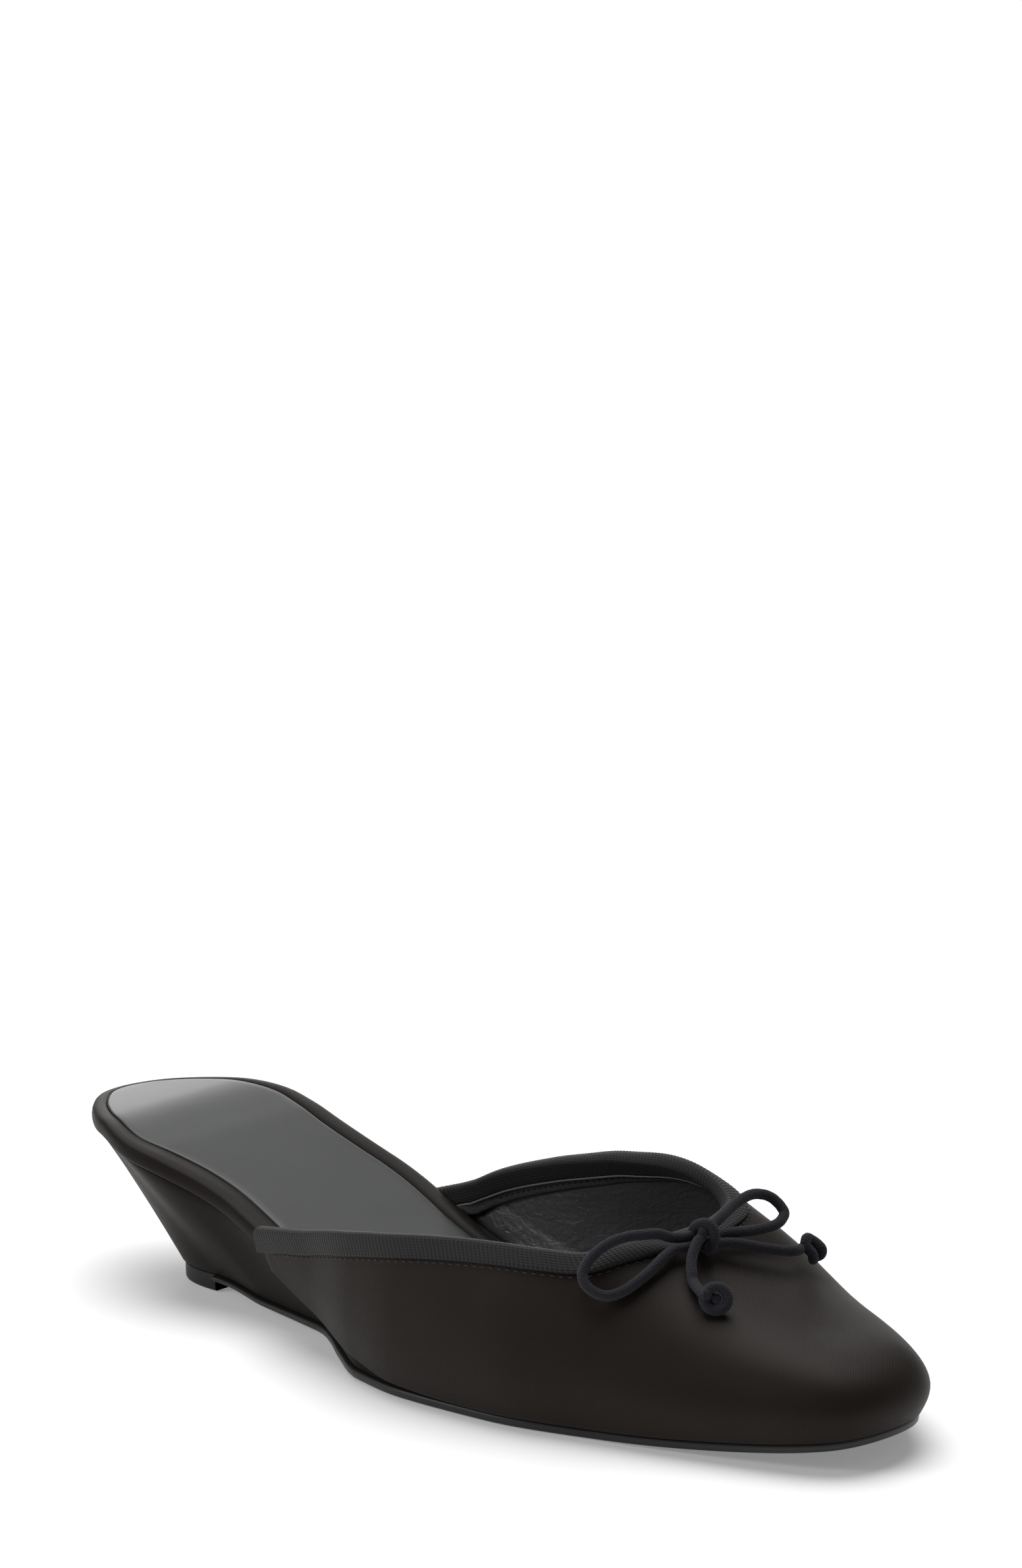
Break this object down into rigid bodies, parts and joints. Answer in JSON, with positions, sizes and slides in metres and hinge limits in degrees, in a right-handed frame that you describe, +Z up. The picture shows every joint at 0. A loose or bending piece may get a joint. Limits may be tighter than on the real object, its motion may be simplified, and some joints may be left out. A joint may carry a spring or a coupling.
{
  "type": "wedge mule",
  "caption": "Right women's slip-on mule with an almond toe, low covered wedge, bound topline and a cord bow at the throat.",
  "frame": {"origin": "on the ground, under the middle of the shoe's length and width, the bow left out", "axes": "+Z up, the toe towards -Y, the wearer's outer side towards -X"},
  "size_m": [0.0805, 0.2449, 0.0453],
  "materials": {
    "satin": "black satin with a fine diagonal twill, soft sheen",
    "ribbon": "charcoal ribbed ribbon, matte",
    "cord": "charcoal woven cord, slightly fuzzy",
    "sock_leather": "smooth grey-black leather, semi-gloss",
    "sole": "black sealed sole edge, satin",
    "rubber": "black rubber, matte"
  },
  "bodies": {
    "root": {"upper": "satin", "binding": "ribbon", "insole": "satin", "sock": "sock_leather", "wedge": "satin", "outsole": "sole", "top_lift": "rubber", "bow_knot": "cord", "bow_loop_outer": "cord", "bow_loop_inner": "cord", "bow_tail_front": "cord", "bow_tail_inner": "cord", "tail_knot_front": "cord", "tail_knot_inner": "cord"}
  },
  "joints": []
}
